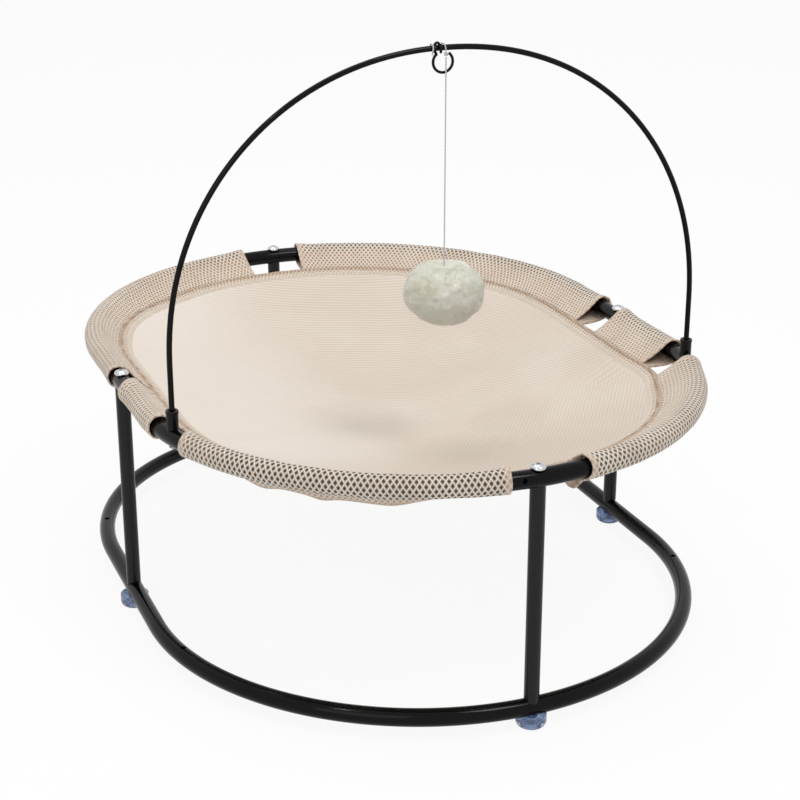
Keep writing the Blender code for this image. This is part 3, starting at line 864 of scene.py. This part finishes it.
def make_arch(paint, plastic):
    socket = socket_mesh()
    for name, place in (("right", socket_place), ("left", ring_length - socket_place)):
        node = "arch_socket_" + name
        where = spot(node) + upward * ring_top
        piece("soft_" + node, placed(socket, where, ring_heading(place)), plastic, "frame",
              "black_plastic", node)
    span = half_span()
    centre = bow_centre()
    path = [Vector((span, arch_back, arch_foot))]
    for angle in spaced(0.0, math.pi, 96):
        path.append(Vector((span * bowed(math.cos(angle)), arch_back,
                            centre + span * bowed(math.sin(angle)))))
    path.append(Vector((-span, arch_back, arch_foot)))
    piece("smooth_arch_rod", swept("arch_rod", path, rod_diameter / 2, 20), paint, "arch",
          "black_paint", "arch_rod")


# Toy

def rod_middle():
    """The middle of the rod where the toy hangs."""
    return Vector((toy_place, arch_back, bow_centre() + half_span()))


def round_rod(x, degrees, distance):
    """A point round the rod at the toy: 0 degrees is below it, 90 behind it."""
    angle = math.radians(degrees)
    return rod_middle() + Vector((x, distance * math.sin(angle), -distance * math.cos(angle)))


def rod_turn(from_x, to_x, from_degrees, to_degrees, thickness, steps):
    """Points of a turn round the rod for a wire or string of one thickness."""
    distance = (rod_diameter + thickness) / 2 + wrap_slack
    turn = []
    for share in spaced(0.0, 1.0, steps):
        degrees = from_degrees + (to_degrees - from_degrees) * share
        turn.append(round_rod(from_x + (to_x - from_x) * share, degrees, distance))
    return turn


def smooth_path(guides, steps):
    """Points on a smooth curve through the guide points."""
    path = []
    last = len(guides) - 1
    for i in range(last):
        before, start = guides[max(i - 1, 0)], guides[i]
        end, after = guides[i + 1], guides[min(i + 2, last)]
        for step in range(steps):
            t = step / steps
            bend = (2 * before - 5 * start + 4 * end - after) * t ** 2
            swing = (3 * start - before - 3 * end + after) * t ** 3
            path.append(start + 0.5 * ((end - before) * t + bend + swing))
    return path + [guides[last]]


def knot_place():
    return rod_middle() + Vector((string_aside, -string_ahead, -knot_drop))


def make_eye(paint):
    radius = (eye_diameter - eye_wire) / 2
    guides = []
    for angle in spaced(eye_right_end, eye_left_end - math.tau, 40):
        guides.append(rod_middle() + Vector((radius * math.cos(angle), 0.0,
                                             radius * math.sin(angle) - eye_drop)))
    guides += rod_turn(*eye_turn, 55, 325, eye_wire, 16)
    mesh = swept("toy_eye", smooth_path(guides, 3), eye_wire / 2)
    piece("smooth_toy_eye", mesh, paint, "hanger", "black_paint", "toy_eye")


def make_hitch(thread):
    """The string's way over the rod, behind the eye and round the rod again, and its knot."""
    knot = knot_place()
    over = rod_turn(0.0012, -0.0008, 300, 100, string_diameter, 4)
    behind = [round_rod(-0.0030, 70, 0.0066), round_rod(-0.0060, 60, 0.0078),
              round_rod(-0.0088, 68, 0.0062)]
    again = rod_turn(-0.0102, -0.0104, 95, 295, string_diameter, 4)
    tail = [round_rod(-0.0104, 328, 0.0044), round_rod(-0.0106, 340, 0.0060)]
    path = smooth_path([knot] + over + behind + again + tail, 8)
    loops = swept("toy_hitch", path, string_diameter / 2, 12)
    piece("string_hitch", loops, thread, "hanger", "white_string", "toy_hitch")
    turns = []
    for angle in spaced(0.0, 2 * math.tau, 60):
        reach = knot_reach + 0.0003 * math.cos(3 * angle / 2)
        turns.append(knot + Vector((reach * math.cos(angle), reach * math.sin(angle) * 0.9,
                                    knot_rise * math.sin(1.5 * angle))))
    piece("string_knot", swept("string_knot", turns, string_diameter * 0.48, 10), thread,
          "hanger", "white_string")


def make_string(thread):
    """The string, straight down from its knot to the pompom, as one open spline."""
    start = knot_place() - upward * (knot_height / 2 + seat_gap)
    curve = bpy.data.curves.new("hanging_string", "CURVE")
    curve.dimensions = "3D"
    curve.bevel_depth = string_diameter / 2
    curve.bevel_resolution = 4
    curve.use_fill_caps = True
    spline = curve.splines.new("POLY")
    count = 36
    spline.points.add(count)
    for i, point in enumerate(spline.points):
        point.co = (start.x, start.y, start.z - string_length * i / count, 1.0)
    string = piece("hanging_string", curve, thread, "toy", "white_string", "toy_string")
    return string, start


def pompom_surface(direction, centre):
    """A point of the pompom's lumpy surface in a direction from its middle."""
    size = 1.0
    for scale, amount, offset in pompom_lumps:
        size += amount * noise.noise(direction * scale + Vector(offset))
    across = pompom_width / 2 - pile_length * 0.6
    tall = pompom_height / 2 - pile_length * 0.6
    point = Vector((direction.x * across, direction.y * across, direction.z * tall)) * size
    if direction.z > 0:
        point.z -= dimple_depth * lobe(math.hypot(point.x, point.y), dimple_width)
    return centre + point


def pompom_fibre(direction, centre):
    """Points of a tapered fibre, leaning with its tuft: three at its root, three halfway, a tip."""
    root = pompom_surface(direction, centre)
    lean = noise.noise_vector(direction * 7.0) * 0.55
    stray = noise.noise_vector(direction * 60.0) * 0.5
    way = (direction + lean + stray - upward * 0.12).normalized()
    length = pile_length * (0.8 + 0.35 * noise.noise(direction * 31.0))
    side = way.orthogonal().normalized()
    other = way.cross(side)
    tip = root + way * length - upward * (length * 0.12)
    points = round_points(root - way * fibre_sink, side, other, fibre_root, 3)
    points += round_points(root + way * length * 0.55, side, other, fibre_middle, 3)
    return points + [tip]


def make_pompom(plush, top):
    """A lumpy ball with a coat of short tapered fibres that lean together in tufts."""
    centre = Vector((top.x, top.y, top.z + pompom_dimple - pompom_height / 2))
    bm = bmesh.new()
    bmesh.ops.create_icosphere(bm, subdivisions=6, radius=1.0)
    for vertex in bm.verts:
        vertex.co = pompom_surface(vertex.co.normalized(), centre)
    ball = piece("pompom_ball", finished("pompom_ball", bm), plush, "toy", "cream_plush",
                 "toy_pompom")
    vertices, faces = [], []
    noise.seed_set(fibre_seed)
    golden = math.pi * (3 - math.sqrt(5))
    for i in range(pile_count):
        height = 1 - 2 * (i + 0.5) / pile_count
        flat = math.sqrt(1 - height * height)
        direction = Vector((flat * math.cos(golden * i), flat * math.sin(golden * i), height))
        base = len(vertices)
        vertices += pompom_fibre(direction, centre)
        for k in range(3):
            j = (k + 1) % 3
            faces.append((base + k, base + j, base + 3 + j, base + 3 + k))
            faces.append((base + 3 + k, base + 3 + j, base + 6))
    mesh = bpy.data.meshes.new("pompom_pile")
    mesh.from_pydata(vertices, [], faces)
    mesh.shade_smooth()
    pile = piece("pompom_pile", mesh, plush, "toy", "cream_plush")
    return ball, pile


# Sling

def tangent_angle(out, up, radius, side):
    """Angle of the point where a line from a far point touches a circle. Side 1 is above."""
    distance = math.hypot(out, up)
    return math.atan2(up, out) % math.tau - side * math.acos(radius / distance)


def sleeve_section(slack, flare, inset):
    """Points (out, up) of a sleeve's cloth, from its upper seam round the tube to its lower."""
    radius = ring_tube / 2 + seat_gap + cloth / 2 + flare
    lift = flare * 0.7
    tip_high = -seam_drop + cloth / 2
    tip_low = -seam_drop - cloth / 2
    above = tangent_angle(-inset, tip_high - lift, radius, 1)
    below = tangent_angle(-inset, tip_low - lift, radius, -1) - math.tau
    round_tube = []
    for angle in spaced(above, below, 24):
        round_tube.append((radius * math.cos(angle), radius * math.sin(angle) + lift))
    start, end = round_tube[0], round_tube[-1]
    upper, lower = [], []
    shares = spaced(0.0, 1.0, 12)
    for share in shares[:-1]:
        dip = seam_dip * 4 * share * (1 - share)
        upper.append((-inset + (start[0] + inset) * share,
                      tip_high + (start[1] - tip_high) * share - dip))
    for share in shares[1:]:
        hang = slack * hang_peak * share * (1 - share) ** 2
        lower.append((end[0] + (-inset - end[0]) * share,
                      end[1] + (tip_low - end[1]) * share - hang))
    return upper + round_tube + lower


def pucker(place, far):
    """Height of the small wrinkles at a place, fading with distance from a seam."""
    fine = noise.noise(Vector((place * 170, far * 60, 0.0)))
    broad = noise.noise(Vector((place * 45, far * 25, 5.0)))
    gathered = (pucker_fine * fine + pucker_broad * broad) * math.exp(-far / pucker_reach)
    return gathered + pucker_even * broad


def eased(values, share):
    """A smooth course through three values, at shares 0, 0.5 and 1."""
    first, last = values[:2] if share < 0.5 else values[1:]
    t = (2 * share) % 1.0 if share < 1.0 else 1.0
    return first + (last - first) * t * t * (3 - 2 * t)


def make_sleeve(name, start, end, fabric, start_skew, end_skew, lobes, corner):
    """A sleeve between two places on the ring.

    Without lobes its lower layer hangs evenly. A corner is the depth of a loose tip at its
    start.
    """
    rows = []
    for even_place in steps_between(start, end, cloth_step):
        share = (even_place - start) / (end - start)
        from_end = min(even_place - start, end - even_place)
        slack = other_slack
        if lobes:
            before_leg = ring_length - even_place
            slack = sum(depth * lobe(before_leg - where, width) for where, depth, width in lobes)
        slack += corner * math.exp(-(even_place - start) / loose_corner_length)
        section = sleeve_section(slack, mouth_flare * math.exp(-from_end / mouth_length),
                                 seam_at(even_place))
        ways = [0.0]
        for one, two in zip(section, section[1:]):
            ways.append(ways[-1] + math.dist(one, two))
        outer_way = ways[section.index(max(section))]
        row = []
        for j, (out, up) in enumerate(section):
            across = j / (len(section) - 1)
            moved_start = start + eased(start_skew, across)
            moved_end = end + eased(end_skew, across)
            place = moved_start + (moved_end - moved_start) * share
            before, after = section[max(j - 1, 0)], section[min(j + 1, len(section) - 1)]
            along = (Vector(after) - Vector(before)).normalized()
            rise = pucker(place, ways[j])
            point = ring_at(place, out - along.y * rise, up + along.x * rise)
            way = ways[j] - outer_way
            row.append((point, (place, way), (min(place - moved_start, moved_end - place), way)))
        rows.append(row)
    sleeve = cloth_piece("cloth_" + name, name, fabric, "beige_mesh", cloth, rows, "cloth",
                         "zones")


def make_sleeves(fabric):
    """The sleeves, each between one stretch of bare tube and the next."""
    for (name, skews), before, after in zip(sleeve_skews.items(), bare_tube, bare_tube[1:]):
        start, end = before[0] + before[2], after[0] + after[1]
        lobes = front_left_lobes if name == "front_left" else ()
        corner = loose_corner if name == "front_right" else 0.0
        make_sleeve("sleeve_" + name, start, end, fabric, *skews, lobes, corner)


def make_border(fabric):
    """The band that the sleeves are sewn to, with a raised seam along its outer edge."""
    rows = []
    width = border_width + border_overlap
    for place in steps_between(0.0, ring_length, cloth_step):
        row = []
        turn = math.tau * place / ring_length
        circle = Vector((math.cos(turn), math.sin(turn), 0.0))
        for share in spaced(0.0, 1.0, 14):
            way = width * share
            ridge = ridge_height * lobe(way - ridge_place, ridge_width)
            wrinkle = noise.noise(circle * 24 + upward * (way * 120))
            tuck = border_tuck * max(0.0, 1 - (width - way) / border_tuck_width)
            up = -seam_drop - border_slope * share + ridge - tuck
            up += border_wrinkle * wrinkle * (1 - share)
            point = ring_at(place, border_overlap - seam_at(place) - way, up)
            row.append((point, (place, way), (1.0, 1.0 + way)))
        rows.append(row)
    border = cloth_piece("cloth_border", "seat_border", fabric, "beige_mesh", cloth * 0.9, rows,
                         "cloth", "zones")


def seat_height(share, angle):
    """Height of the seat over the tube's middle, as in the model."""
    edge = -seam_drop - border_slope - cloth / 2 - seat_gap - seat_cloth / 2
    sag = seat_sag * (1 - share ** 2)
    crease = crease_depth * math.cos(crease_count * angle) * share ** 3 * (1 - share) * 4
    return edge - sag + crease


def seat_crease(x, y):
    """Height of the soft creases that run forward from the seam near the right leg."""
    start = Vector(crease_start)
    course = Vector(crease_end) - start
    along = Vector((x, y)) - start
    way = course.normalized()
    share = along.dot(way) / course.length
    aside = along.x * way.y - along.y * way.x
    fold = math.cos(math.tau * aside / crease_spacing)
    return crease_fold * lobe(share - 0.5, 0.30) * fold * lobe(aside, crease_spread)


def make_seat(fabric):
    """The seat panel, from its hem under the border to its middle."""
    rows = []
    for place in steps_between(0.0, ring_length, seat_step):
        inset = seam_at(place) + border_width
        hem = ring_at(place, seat_hem - inset,
                      seat_height(1.0, 0.0) + border_slope * seat_hem / border_width)
        row = [(hem, (hem.x, hem.y))]
        point = ring_at(place, -inset)
        angle = math.atan2(point.y, point.x)
        for share in spaced(1.0, 0.0, 40):
            x, y = point.x * share, point.y * share
            uneven = seat_uneven * noise.noise(Vector((x * 40, y * 40, 0.0))) * (1 - share)
            up = upper_level + seat_height(share, angle) + uneven + seat_crease(x, y)
            row.append((Vector((x, y, up)), (x, y)))
        rows.append(row)
    seat = cloth_piece("cloth_seat", "seat_panel", fabric, "cream_mesh", seat_cloth, rows,
                       "cloth")


def make_stitches(thread):
    """A row of short slanting stitches over the inner side of the raised seam."""
    bm = bmesh.new()
    for place in steps_between(0.0, ring_length, stitch_pitch)[:-1]:
        inset = seam_at(place)
        first = ring_at(place, -inset - stitch_from, stitch_high - seam_drop)
        last = ring_at(place + stitch_pitch / 2, -inset - stitch_to, stitch_low - seam_drop)
        side = (last - first).normalized().cross(upward)
        circles = []
        for share, size, lift in ((0.0, 0.3, -0.5), (0.2, 1.0, 0.2), (0.8, 1.0, 0.2),
                                  (1.0, 0.3, -0.5)):
            centre = first.lerp(last, share) + upward * stitch_thread * lift
            circles.append(round_points(centre, side, upward, stitch_thread / 2 * size, 6))
        add_tube(bm, circles)
    bmesh.ops.recalc_face_normals(bm, faces=bm.faces)
    piece("seam_stitches", finished("seam_stitches", bm), thread, "frame", "beige_mesh")


# Floor, light and camera

def seen_ray(tree):
    """1 where a ray from the camera, a mirror or clear plastic looks, and 0 for other light."""
    rays = add_to(tree, "LightPath", {})
    seen = math_of("MAXIMUM", rays.outputs["Is Camera Ray"], rays.outputs["Is Glossy Ray"])
    return math_of("MAXIMUM", seen, rays.outputs["Is Transmission Ray"])


def make_stage():
    """A white floor that still takes some of the object's shadow."""
    bm = bmesh.new()
    bmesh.ops.create_grid(bm, x_segments=1, y_segments=1, size=30.0)
    floor = linked("floor", finished("floor", bm))
    material, tree = new_material("floor", Roughness=0.9, Specular_IOR_Level=0.0,
                                  Base_Color=(0.95, 0.95, 0.95, 1.0))
    share = times(seen_ray(tree), 0.9)
    glow = add_to(tree, "Emission", {"Color": (1.0, 1.0, 1.0, 1.0), "Strength": 1.0})
    matt = tree.nodes["Principled BSDF"].outputs[0]
    blend = add("MixShader", {0: share, 1: matt, 2: glow.outputs[0]})
    tree.links.new(blend.outputs[0], tree.nodes["Material Output"].inputs["Surface"])
    floor.data.materials.append(material)


def make_world(level):
    """A world that looks white and lights the object at an even level."""
    world = bpy.data.worlds.new("studio")
    world.use_nodes = True
    bpy.context.scene.world = world
    tree = world.node_tree
    strength = mapped(seen_ray(tree), 0.0, 1.0, level, 1.0)
    background = tree.nodes["Background"]
    background.inputs["Color"].default_value = (1.0, 1.0, 1.0, 1.0)
    tree.links.new(strength, background.inputs["Strength"])


def make_lamp(name, place, size, power):
    """A soft square lamp that faces the object."""
    light = bpy.data.lights.new(name, "AREA")
    light.size = size
    light.energy = power
    lamp = linked(name, light)
    lamp.location = place
    aim = Vector(lamp_aim) - Vector(place)
    lamp.rotation_euler = aim.to_track_quat("-Z", "Y").to_euler()


def make_camera():
    """The camera worked out from the photograph."""
    data = bpy.data.cameras.new("camera")
    data.sensor_width = 36.0
    data.lens = data.sensor_width * focal_pixels / photo_pixels
    camera = linked("camera", data)
    camera.location = camera_place
    camera.rotation_euler = (math.radians(90 - camera_tilt), 0.0, math.radians(camera_turn))
    bpy.context.scene.camera = camera


make_camera()
make_world(0.6)
make_stage()
make_lamp("key", (0.5, -1.2, 2.2), 0.6, 11.5)
make_lamp("fill", (-1.3, -1.5, 1.1), 1.2, 5.0)
make_lamp("top", (-0.1, 0.5, 2.4), 1.4, 13.5)
make_lamp("glint", (-1.0, -0.6, 2.0), 0.16, 2.4)
bpy.context.scene.view_settings.view_transform = "Standard"

paint = speckled("gloss_paint", (4, 4, 5), (9, 9, 9), (0.05, 0.10), 1800.0, 0.00002,
                 Specular_IOR_Level=0.13)
# The legs take a lighter grey copy of the black paint: painted light, as the legs catch more light
# than the rings; it is also rougher
satin = speckled("satin_paint_painted_light", (22, 22, 22), (30, 30, 30), (0.18, 0.26), 1800.0, 0.00002,
                 Specular_IOR_Level=0.2)
plastic = speckled("satin_plastic", (7, 7, 8), (14, 14, 15), (0.15, 0.25), 1500.0, 0.00004,
                   Specular_IOR_Level=0.18)
steel = speckled("turned_steel", (120, 120, 122), (160, 160, 160), (0.3, 0.45), 900.0,
                 0.00003, Metallic=1.0)
chrome = speckled("bright_plate", (186, 188, 192), (214, 215, 216), (0.10, 0.2), 700.0,
                  0.00003, Metallic=1.0)
clear = clear_material()
beige = mesh_cloth()
cream = seat_cloth_material()
seam_thread = thread_material("seam_thread", (184, 160, 136), (220, 202, 182))
# The white string is drawn light grey: painted shade, as a thin string takes little light
white_thread = thread_material("white_thread", (180, 180, 182), (196, 196, 197))
plush = plush_material()

string, string_start = make_string(white_thread)
string_end = string_start - upward * (string_length + seat_gap)
make_rings(paint)
make_legs(satin, chrome, clear)
make_arch(paint, plastic)
make_eye(paint)
make_hitch(white_thread)
ball, pile = make_pompom(plush, string_end)
make_sleeves(beige)
make_border(beige)
make_seat(cream)
make_stitches(seam_thread)

for node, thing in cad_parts.items():
    for kind, material in (("plug", steel), ("socket_screw", steel), ("foot_screw", chrome)):
        if kind in node:
            for material_slot in thing.material_slots:
                material_slot.material = material
